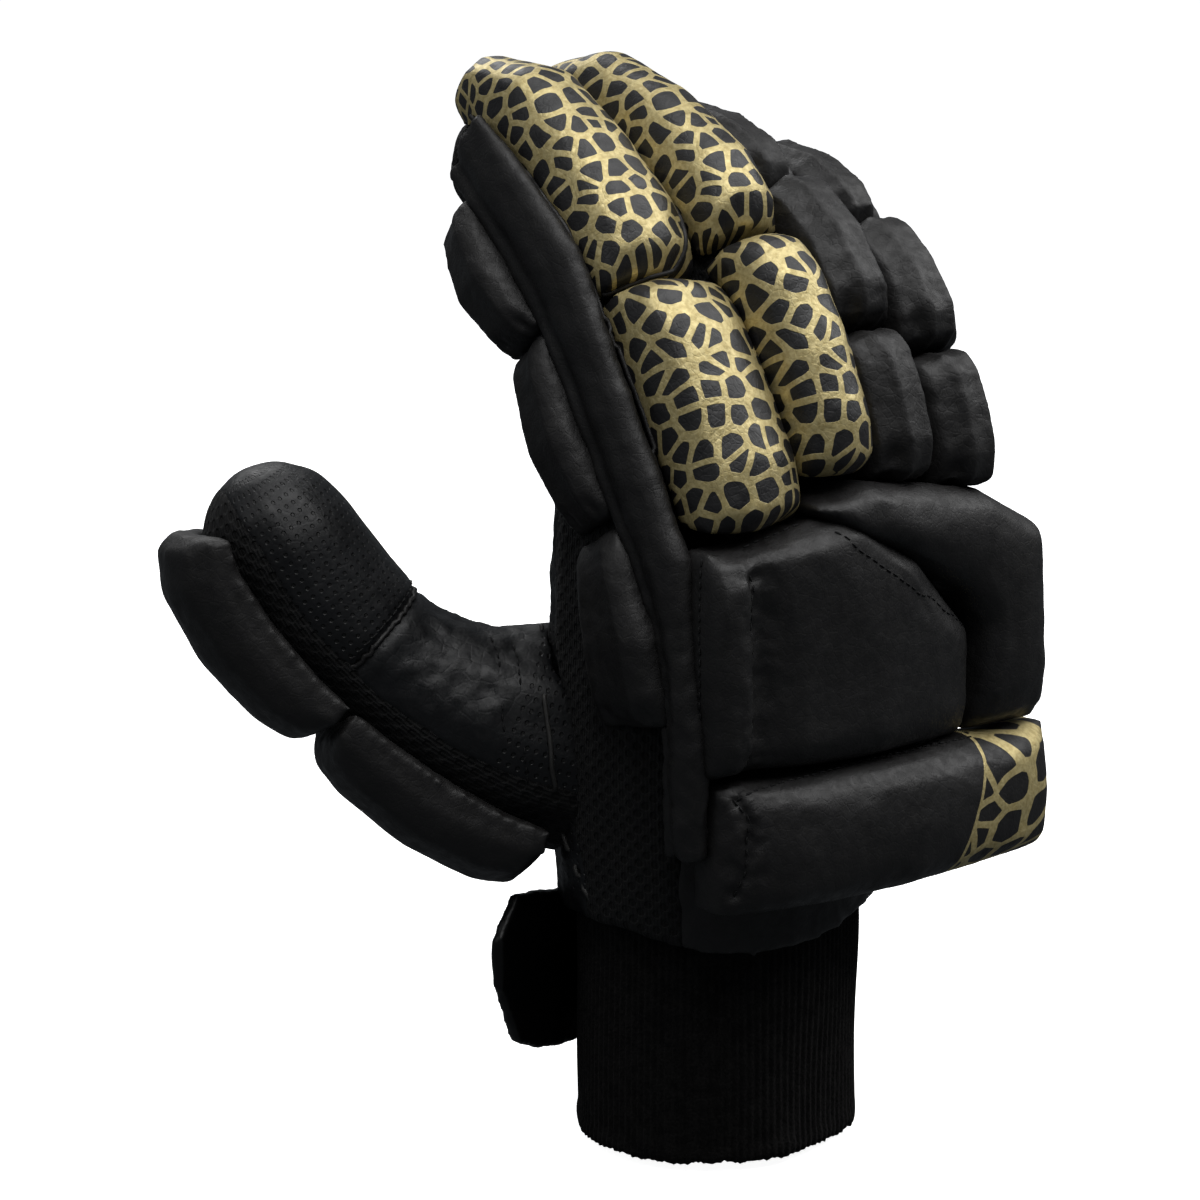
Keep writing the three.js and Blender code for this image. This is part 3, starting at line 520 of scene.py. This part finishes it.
# Thumb. Pierced sheepskin outside and underneath, with a strip of mesh along its nail side
# that shows between the leather and the two thumb pads. A seam rings it where the smooth bulb
# meets the wrinkled web.
thumb_way = digits["thumb"]["way"]


def press(piece, path, depth, width):
    """A groove along a path: the points near it sink along their normals, or rise."""
    places, ways = points_of(piece), normals_of(piece)
    near = np.full(len(places), 1.0)
    for point in path:
        near = np.minimum(near, ((places - np.array(point)) ** 2).sum(-1))
    move_to(piece, places - ways * (depth * np.exp(-near / width**2))[:, None])


def laid_on(pieces, knots, lift=0.0, step=0.001):
    """A path over the pieces: the line through the knots, brought to the nearest surface."""
    trees = [surface_of(piece) for piece in pieces]
    knots = [Vector(knot) for knot in knots]
    path = []
    for start, end in zip(knots, knots[1:]):
        parts = max(int((end - start).length / step), 1)
        for k in range(parts + (end is knots[-1])):
            found = min((tree.find_nearest(start.lerp(end, k / parts)) for tree in trees), key=lambda hit: hit[3])
            path.append(found[0] + found[1] * lift)
    return path


def past_root(places):
    return np.clip((on_digit(digits["thumb"], places)[0] - 0.014) / 0.014, 0.04, 1)


thumb_leather, thumb_strip = lapped([("thumb_stall", "thumb_leather"), ("thumb_mesh", "thumb_mesh_strip")],
                                    0.0013, 34, seam_grow, past_root)
for piece in (thumb_leather, thumb_strip):
    places = points_of(piece)
    inward = np.clip((0.022 - on_digit(digits["thumb"], places)[0]) / 0.012, 0, 1) * 0.0022
    move_to(piece, places - thumb_way[steps_before] * inward[:, None])


def in_web(places):
    """1 on the wrinkled web, and less at its root, past the ring and beside the mesh strip."""
    s = on_digit(digits["thumb"], places)[0]
    between = np.clip((web_to - 0.001 - s) / 0.006, 0, 1) * np.clip((s - web_from) / 0.006, 0.1, 1)
    return between * np.clip((gap_to("thumb_mesh", places) - 0.001) / 0.004, 0, 1)


rumple(thumb_leather, 0.0006, 90, seed=5.0, amount=in_web)
rumple(thumb_leather, 0.00035, 260, seed=6.0, amount=in_web)
rumple(thumb_leather, 0.0003, 45, seed=4.0)
rumple(thumb_strip, 0.0003, 120, seed=6.0)
ring_knots = []
for degrees in range(70, 300, 6):
    turn, middle = math.radians(degrees), np.searchsorted(digits["thumb"]["s"], web_to)
    aside = digits["thumb"]["across"] * math.sin(turn) + digits["thumb"]["out"][middle] * math.cos(turn)
    ring_knots.append(digits["thumb"]["centre"][middle] + aside * 0.021)
thumb_ring = laid_on([thumb_leather], ring_knots)
press(thumb_leather, thumb_ring, 0.0012, 0.0017)
wrap_digit(thumb_leather, digits["thumb"], 0.0195)
wrap_digit(thumb_strip, digits["thumb"], 0.0195)
worn_by(thumb_leather, ["thumb_stall"], palm_sheepskin)
worn_by(thumb_strip, ["thumb_mesh"], open_mesh)

# Gusset strip. A folded band of leather down the thumb side of the index finger, from the wrist
# to the fingertip, sewn between the gold rolls and the side pads, with a groove along it.
gusset = softened(["index_side_strip"], "index_gusset", 0.0012, 5, 0.0014)


def share_across(along, across, step=0.004):
    """-1 to 1 across a long piece, from its own two edges at each place along it."""
    row = np.round((along - along.min()) / step).astype(int)
    rows = [k for k in range(row.max() + 1) if (row == k).sum() > 3]
    low = np.interp(row, rows, [across[row == k].min() for k in rows])
    high = np.interp(row, rows, [across[row == k].max() for k in rows])
    return np.clip((2 * across - low - high) / np.maximum(high - low, 1e-5), -1, 1)


s, a, h = on_digit(digits["index"], points_of(gusset))
t = share_across(s, h)
fold = 0.0006 * np.exp(-(((t - 0.1) / 0.3) ** 2)) - 0.0011 * np.exp(-(((t + 0.5) / 0.2) ** 2))
move_to(gusset, points_of(gusset) + normals_of(gusset) * fold[:, None])
rumple(gusset, 0.0004, 100, seed=7.0)
rumple(gusset, 0.0004, 230, seed=7.5, amount=lambda p: np.clip((0.16 - p[:, 2]) / 0.02, 0, 1))
worn_by(gusset, ["index_side_strip"], black_leather)

# Pads. High-density foam and cane rolls in leather covers, each sewn down round its edge to the
# shell. Every cover is stuffed in place: the cloth is blown up a little inside the room that its
# solid gives it, and then the ridges and sewn channels are pressed in. The main back pad and
# the pad along its thumb edge share one cover. Pads that meet a neighbour are cut a little fuller.
gold_rolls = ["index_base_roll", "index_tip_roll", "middle_base_roll", "middle_tip_roll"]
ribbed_pads = ["ring_base_pad", "ring_middle_pad", "ring_tip_pad",
               "little_base_pad", "little_middle_pad", "little_tip_pad"]
side_pads = ["index_side_pad_tip", "index_side_pad_middle", "hand_side_pad"]
plain_pads = ["thumb_base_pad", "thumb_tip_pad", "back_main_pad", "knuckle_pad", "wrist_bar"]
covered = {"back_main_pad": ["back_main_pad", "back_edge_pad"]}
pad_cell, pad_grow, most_swell = 0.0017, 0.0005, 0.0010
meeting_pads, meet_grow = ["wrist_bar", "knuckle_pad", *ribbed_pads, *side_pads], 0.0005

pads = {}
for node_name in gold_rolls + ribbed_pads + side_pads + plain_pads:
    joined = covered.get(node_name, [node_name])
    join_grow = 0.0011 if len(joined) > 1 else 0
    rounds = 7 if node_name in gold_rolls else 2
    grow = pad_grow + join_grow + (meet_grow if node_name in meeting_pads else 0)
    pad = softened(joined, node_name + "_cover", pad_cell, rounds, grow)
    move_to(pad, points_of(pad) - normals_of(pad) * join_grow * 0.7)
    pads[node_name] = pad

before = {}
for node_name, pad in pads.items():
    before[node_name] = points_of(pad)
    filling = pad.modifiers.new("filling", "CLOTH")
    filling.settings.use_pressure = True
    filling.settings.uniform_pressure_force = 5
    filling.settings.effector_weights.gravity = 0
    filling.settings.quality = 4
    filling.settings.tension_stiffness = filling.settings.compression_stiffness = 12
    filling.settings.bending_stiffness = 0.6
    filling.point_cache.frame_start, filling.point_cache.frame_end = 1, 20
for moment in range(1, 21):
    scene.frame_set(moment)
view = bpy.context.evaluated_depsgraph_get()
for node_name, pad in pads.items():
    swollen = bpy.data.meshes.new_from_object(pad.evaluated_get(view))
    places = np.empty(len(swollen.vertices) * 3)
    swollen.vertices.foreach_get("co", places)
    pad.modifiers.clear()
    shift = places.reshape(-1, 3) - before[node_name]
    length = np.linalg.norm(shift, axis=1, keepdims=True)
    move_to(pad, before[node_name] + shift * np.minimum(1, most_swell / np.maximum(length, 1e-9)))
    bpy.data.meshes.remove(swollen)
scene.frame_set(1)

for pad in pads.values():
    finer = pad.modifiers.new("finer", "SUBSURF")
    finer.levels = finer.render_levels = 1
    settled(pad)

# Ring and little finger pads, and the pads down the thumb side. Each is a block with flat faces
# lengthwise between soft ridges, and its leather is pinched where the stitches hold its corners.


def face_lengthwise(pad, digit, ridges, crown, side=False):
    """Flat faces between ridges: the rounded section's crown gives way to its chords."""
    places, ways = points_of(pad), normals_of(pad)
    s, a, h = on_digit(digit, places)
    across, high = (h, -a) if side else (a, h)
    t = share_across(s, across)
    knots = np.array([-1, *ridges, 1])
    top = np.clip((high - np.percentile(high, 40)) / 0.004, 0, 1)
    sink = crown * (t**2 - np.interp(t, knots, knots**2)) * top
    pinch = np.zeros(len(places))
    for corner in (-0.62, 0.62):
        pinch += np.exp(-(((s - s.min() - 0.0035) / 0.0028) ** 2) - ((t - corner) / 0.2) ** 2) * top
    move_to(pad, places + ways * (sink - 0.0012 * pinch)[:, None])


for node_name in ribbed_pads:
    face_lengthwise(pads[node_name], digits[node_name.split("_")[0]], (-0.3, 0.34), 0.0080)
    rumple(pads[node_name], 0.0003, 160, seed=8.0)
for node_name in side_pads:
    face_lengthwise(pads[node_name], digits["index"], (0.42,), 0.0024, side=True)
    rumple(pads[node_name], 0.0003, 120, seed=9.0)

# Back pads, thumb pads and gold rolls. A sewn channel divides the cover of the main pad, and a
# seam crosses the wrist bar near its thumb end. The leather puckers a little along both.
for node_name in gold_rolls + plain_pads:
    rumple(pads[node_name], 0.00022, 90, seed=9.0)
back_cover, bar_cover = pads["back_main_pad"], pads["wrist_bar"]
channel = laid_on([back_cover], [(-0.0284, -0.048, 0.1540), (-0.0282, -0.048, 0.13), (-0.0280, -0.048, 0.1035)])
press(back_cover, channel, 0.0016, 0.0017)
bar_seam = laid_on([bar_cover], [(-0.0355, -0.046, 0.1005), (-0.0362, -0.052, 0.094), (-0.0385, -0.052, 0.084),
                                 (-0.0405, -0.05, 0.0765)])
press(bar_cover, bar_seam, 0.0010, 0.0015)
for cover, seam in ((back_cover, channel), (bar_cover, bar_seam)):
    close = np.array([seam[k] for k in range(0, len(seam), 3)])

    def by_seam(places, close=close):
        gap = np.sqrt(((places[:, None, :] - close[None, :, :]) ** 2).sum(-1)).min(1)
        return np.exp(-((gap / 0.006) ** 2))

    rumple(cover, 0.0007, 230, seed=10.0, amount=by_seam)

# The gold print. A net of gold foil on black leather, pressed into the covers of the index and
# middle finger rolls, and into the little-finger end of the wrist bar beyond a slanting line.


def foil_net(tree, pitch, line):
    """1 on the lines of a net with rounded, uneven cells, laid out on the cloth's UV map."""
    uv = add(tree, "ShaderNodeUVMap", uv_map="cloth").outputs["UV"]
    wander = add(tree, "ShaderNodeTexNoise", {"Vector": uv, "Scale": 70.0, "Detail": 1.0}, noise_dimensions="2D")
    centred = add(tree, "ShaderNodeVectorMath", {0: wander.outputs["Color"], 1: (0.5, 0.5, 0.5)}, operation="SUBTRACT")
    pushed = add(tree, "ShaderNodeVectorMath", {0: centred.outputs[0], "Scale": 0.6}, operation="SCALE")
    cells = add(tree, "ShaderNodeVectorMath", {0: uv, "Scale": 1 / pitch}, operation="SCALE")
    moved = add(tree, "ShaderNodeVectorMath", {0: cells.outputs[0], 1: pushed.outputs[0]}, operation="ADD").outputs[0]
    layout = {"Vector": moved, "Scale": 1.0, "Randomness": 0.76}
    edge = add(tree, "ShaderNodeTexVoronoi", layout, feature="DISTANCE_TO_EDGE", voronoi_dimensions="2D")
    middle = add(tree, "ShaderNodeTexVoronoi", layout, feature="F1", voronoi_dimensions="2D")
    corner = spread(tree, middle.outputs["Distance"], 0.38, 0.70, 0, 0.13)
    rounded = add(tree, "ShaderNodeMath", {0: edge.outputs["Distance"], 1: corner}, operation="SUBTRACT").outputs[0]
    return spread(tree, rounded, line / pitch / 2 - 0.012, line / pitch / 2 + 0.012, 1, 0)


def gild(finish, foil):
    """Lays gold foil over a leather finish wherever foil is 1."""
    tree = finish.node_tree
    shader = tree.nodes["Principled BSDF"]
    tint = speckle(tree, where_on(tree), 900, 4)
    gold = two_tone(tree, spread(tree, tint, 0.3, 0.7, 0, 1), (0.36, 0.29, 0.125), (0.50, 0.42, 0.21))
    bare = shader.inputs["Base Color"].links[0].from_socket
    tone = add(tree, "ShaderNodeMix", {"Factor": foil, "A": bare, "B": gold}, data_type="RGBA")
    tree.links.new(tone.outputs["Result"], shader.inputs["Base Color"])
    tree.links.new(spread(tree, foil, 0, 1, 0, 0.55), shader.inputs["Metallic"])
    skin = shader.inputs["Normal"].links[0].from_socket
    tree.links.new(relief(tree, foil, 0.00008, 0.5, skin), shader.inputs["Normal"])


gold_print = leather_finish("gold_print", (0.0055, 0.0053, 0.0056), (0.010, 0.0095, 0.010), 0.44,
                            pebble=1200, crease=520, Specular_IOR_Level=0.4)
roll_net_pitch, roll_net_line, roll_top = 0.0063, 0.0015, 0.029
gild(gold_print, foil_net(gold_print.node_tree, roll_net_pitch, roll_net_line))

for node_name in gold_rolls:
    digit = digits[node_name.split("_")[0]]
    s, a, h = on_digit(digit, points_of(pads[node_name]))
    ridge = digit["centre"] + digit["out"] * roll_top
    length = np.concatenate([[0], np.cumsum(np.linalg.norm(np.diff(ridge, axis=0), axis=1))])
    round_tip = np.arctan2(np.maximum(s - digit["s"][-1], 0), np.hypot(a, h)) * roll_top
    lay_print(pads[node_name], np.arctan2(a, h) * roll_top, np.interp(s, digit["s"], length) + round_tip,
              2 * math.pi * roll_top)
    worn_by(pads[node_name], [node_name], gold_print)

bar_leather = leather_finish("bar_leather", (0.0044, 0.0040, 0.0040), (0.0060, 0.0055, 0.0055), 0.54,
                             Specular_IOR_Level=0.34)
tree = bar_leather.node_tree
bar_net_pitch, bar_net_line, border_slant = 0.0076, 0.0018, -0.4357
at = add(tree, "ShaderNodeSeparateXYZ", {"Vector": where_on(tree)})
slant = add(tree, "ShaderNodeMath", {0: at.outputs["Z"], 1: border_slant, 2: at.outputs["X"]},
            operation="MULTIPLY_ADD").outputs[0]
printed, border = spread(tree, slant, 0.00066, 0.00086, 0, 1), spread(tree, slant, 0.0018, 0.0020, 1, 0)
net = foil_net(tree, bar_net_pitch, bar_net_line)
foil = add(tree, "ShaderNodeMath", {0: net, 1: border}, operation="MAXIMUM").outputs[0]
gild(bar_leather, add(tree, "ShaderNodeMath", {0: foil, 1: printed}, operation="MULTIPLY").outputs[0])
places = points_of(bar_cover)
lay_print(bar_cover, np.arctan2(places[:, 0] - hand_middle, -places[:, 1]) * 0.055, places[:, 2] - places[:, 1])
worn_by(bar_cover, ["wrist_bar"], bar_leather)
for node_name in ribbed_pads + side_pads + plain_pads:
    if node_name != "wrist_bar":
        worn_by(pads[node_name], covered.get(node_name, [node_name]), black_leather)

# Wrist strap. A doubled leather band round the palm side of the cuff, with a satin tab.
strap = softened(["wrist_strap"], "strap_band", 0.0010, 4)
rumple(strap, 0.0004, 90, seed=11.0)
satin, tree, shader = finish_named("black_satin", Roughness=0.38, Specular_IOR_Level=0.25)
weave = speckle(tree, where_on(tree), 1400, 2)
tree.links.new(two_tone(tree, weave, (0.0006, 0.0006, 0.0007), (0.0016, 0.0016, 0.0018)), shader.inputs["Base Color"])
tree.links.new(relief(tree, weave, 0.0001, 0.4), shader.inputs["Normal"])
worn_by(strap, ["wrist_strap"], satin)

# Seams. Rows of black thread stitches along the sewn edges, and cords of turned leather where two
# panels meet: round the thumb, beside the gold rolls, under the index fingertip's roll and, paler,
# down the edge of the palm.


def path_group(name, sizes):
    """A node group that takes a line, some sizes and a finish. Returns it, its inputs, its curve."""
    group = bpy.data.node_groups.new(name, "GeometryNodeTree")
    group.interface.new_socket("Geometry", in_out="INPUT", socket_type="NodeSocketGeometry")
    for size in sizes:
        group.interface.new_socket(size, in_out="INPUT", socket_type="NodeSocketFloat")
    group.interface.new_socket("Finish", in_out="INPUT", socket_type="NodeSocketMaterial")
    group.interface.new_socket("Geometry", in_out="OUTPUT", socket_type="NodeSocketGeometry")
    given = group.nodes.new("NodeGroupInput").outputs
    return group, given, add(group, "GeometryNodeMeshToCurve", {"Mesh": given["Geometry"]}).outputs["Curve"]


def close_group(group, given, made):
    real = add(group, "GeometryNodeRealizeInstances", {"Geometry": made}).outputs[0]
    dressed = add(group, "GeometryNodeSetMaterial", {"Geometry": real, "Material": given["Finish"]}).outputs[0]
    add(group, "NodeGroupOutput", {"Geometry": dressed})


stitch_row, given, curve = path_group("stitch_row", ("Pitch", "Stitch Length", "Thread"))
group = stitch_row
even = add(group, "GeometryNodeResampleCurve", {"Curve": curve, "Length": given["Pitch"]}, mode="LENGTH")
bead = add(group, "GeometryNodeMeshUVSphere", {"Segments": 8, "Rings": 5, "Radius": 0.5})
thin = add(group, "ShaderNodeCombineXYZ", {"X": given["Thread"], "Y": given["Thread"], "Z": given["Stitch Length"]})
along = add(group, "FunctionNodeAlignRotationToVector", {"Vector": add(group, "GeometryNodeInputTangent").outputs[0]},
            axis="Z")
set_out = add(group, "GeometryNodeInstanceOnPoints", {"Points": even.outputs[0], "Instance": bead.outputs["Mesh"],
                                                      "Rotation": along.outputs[0], "Scale": thin.outputs[0]})
close_group(group, given, set_out.outputs[0])

turned_edge, given, curve = path_group("turned_edge", ("Radius",))
section = add(turned_edge, "GeometryNodeCurvePrimitiveCircle", {"Resolution": 8, "Radius": given["Radius"]})
tube = add(turned_edge, "GeometryNodeCurveToMesh", {"Curve": curve, "Profile Curve": section.outputs[0],
                                                    "Fill Caps": True})
close_group(turned_edge, given, tube.outputs[0])


def follow(name, paths, group, slot, **inputs):
    """Runs a node group along the paths, and keeps its mesh as a piece."""
    points = [point for path in paths for point in path]
    edges, first = [], 0
    for path in paths:
        edges += [(k, k + 1) for k in range(first, first + len(path) - 1)]
        first += len(path)
    mesh = bpy.data.meshes.new(name)
    mesh.from_pydata([tuple(point) for point in points], edges, [])
    piece = bpy.data.objects.new(name, mesh)
    scene.collection.objects.link(piece)
    run = piece.modifiers.new("run", "NODES")
    run.node_group = group
    for item in group.interface.items_tree:
        if item.in_out == "INPUT" and item.name.replace(" ", "_") in inputs:
            run[item.identifier] = inputs[item.name.replace(" ", "_")]
    piece.data = bpy.data.meshes.new_from_object(piece.evaluated_get(bpy.context.evaluated_depsgraph_get()))
    piece.modifiers.clear()
    piece.data.shade_smooth()
    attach(piece, "root")


thread, tree, shader = finish_named("black_thread", Roughness=0.7, Specular_IOR_Level=0.15)
twist = speckle(tree, where_on(tree), 2500, 1)
tree.links.new(two_tone(tree, twist, (0.004, 0.004, 0.0042), (0.011, 0.011, 0.0115)), shader.inputs["Base Color"])
beside_ring = 0.0022 * thumb_way[steps_before + steps_along // 2]
stitched = [
    laid_on([back_cover], channel, 0.0002),
    laid_on([bar_cover], bar_seam, 0.0002),
    laid_on([bar_cover], [(-0.033, -0.044, 0.1), (-0.01, -0.0445, 0.1004), (0.02, -0.0445, 0.1006),
                          (0.045, -0.0435, 0.1004)], 0.0001),
    laid_on([back_cover], [(-0.0262, -0.038, 0.1592), (-0.02, -0.0385, 0.1606), (-0.0111, -0.039, 0.1618)], 0.0001),
    laid_on([back_cover], [(-0.004, -0.0445, 0.159), (0.0082, -0.046, 0.1505), (0.0225, -0.0455, 0.1415),
                           (0.039, -0.043, 0.1305)], 0.0001),
    laid_on([back_cover, gusset], [(-0.0405, -0.037, 0.1575), (-0.0408, -0.039, 0.134),
                                   (-0.0408, -0.038, 0.11)], 0.0002),
    laid_on([thumb_leather], [(-0.0505, 0.028, 0.129), (-0.0518, 0.0242, 0.124), (-0.0564, 0.017, 0.111),
                              (-0.0556, 0.016, 0.101)], 0.0002),
    laid_on([thumb_leather], [(-0.0465, 0.024, 0.127), (-0.0497, 0.0186, 0.1197), (-0.0529, 0.0124, 0.1011),
                              (-0.0525, 0.0118, 0.096)], 0.0002),
    laid_on([thumb_leather], [np.array(point) + beside_ring for point in thumb_ring], 0.0002),
]
follow("seam_stitches", stitched, stitch_row, "leather_black", Pitch=0.0026, Stitch_Length=0.0019, Thread=0.00055,
       Finish=thread)

index_rolls = [pads["index_tip_roll"], pads["index_base_roll"]]
turned = [
    laid_on([thumb_leather], thumb_ring, 0.0001),
    laid_on([*index_rolls, gusset], [(-0.0339, 0.0558, 0.2545), (-0.0385, 0.0306, 0.2411), (-0.0378, 0.0160, 0.2307),
                                     (-0.0368, 0.0047, 0.2157), (-0.0365, -0.0049, 0.2008), (-0.0366, -0.0161, 0.1820),
                                     (-0.0375, -0.0235, 0.1650)], 0.0001),
    laid_on([index_rolls[0]], [(-0.0120, 0.010, 0.2345), (-0.0135, 0.003, 0.2270), (-0.0165, -0.002, 0.2195),
                               (-0.0235, -0.004, 0.2165), (-0.0310, 0.000, 0.2145), (-0.0350, 0.004, 0.2150)], 0.0001),
]
follow("seam_cords", turned, turned_edge, "leather_black", Radius=0.0007, Finish=black_leather)

edge_binding, tree, shader = finish_named("edge_binding", Roughness=0.6, Specular_IOR_Level=0.4)
wear = speckle(tree, where_on(tree), 700, 3)
tree.links.new(two_tone(tree, wear, (0.006, 0.006, 0.006), (0.030, 0.029, 0.026)), shader.inputs["Base Color"])
palm_edge = laid_on([palm_panel, thumb_leather, mesh_panel],
                    [(-0.0342, 0.029, 0.1281), (-0.0463, 0.0131, 0.1151), (-0.0475, 0.0085, 0.0984),
                     (-0.0405, 0.0120, 0.0800), (-0.0409, 0.0011, 0.0644)], 0.0004)
follow("palm_edge_binding", [palm_edge], turned_edge, "leather_palm", Radius=0.0006, Finish=edge_binding)
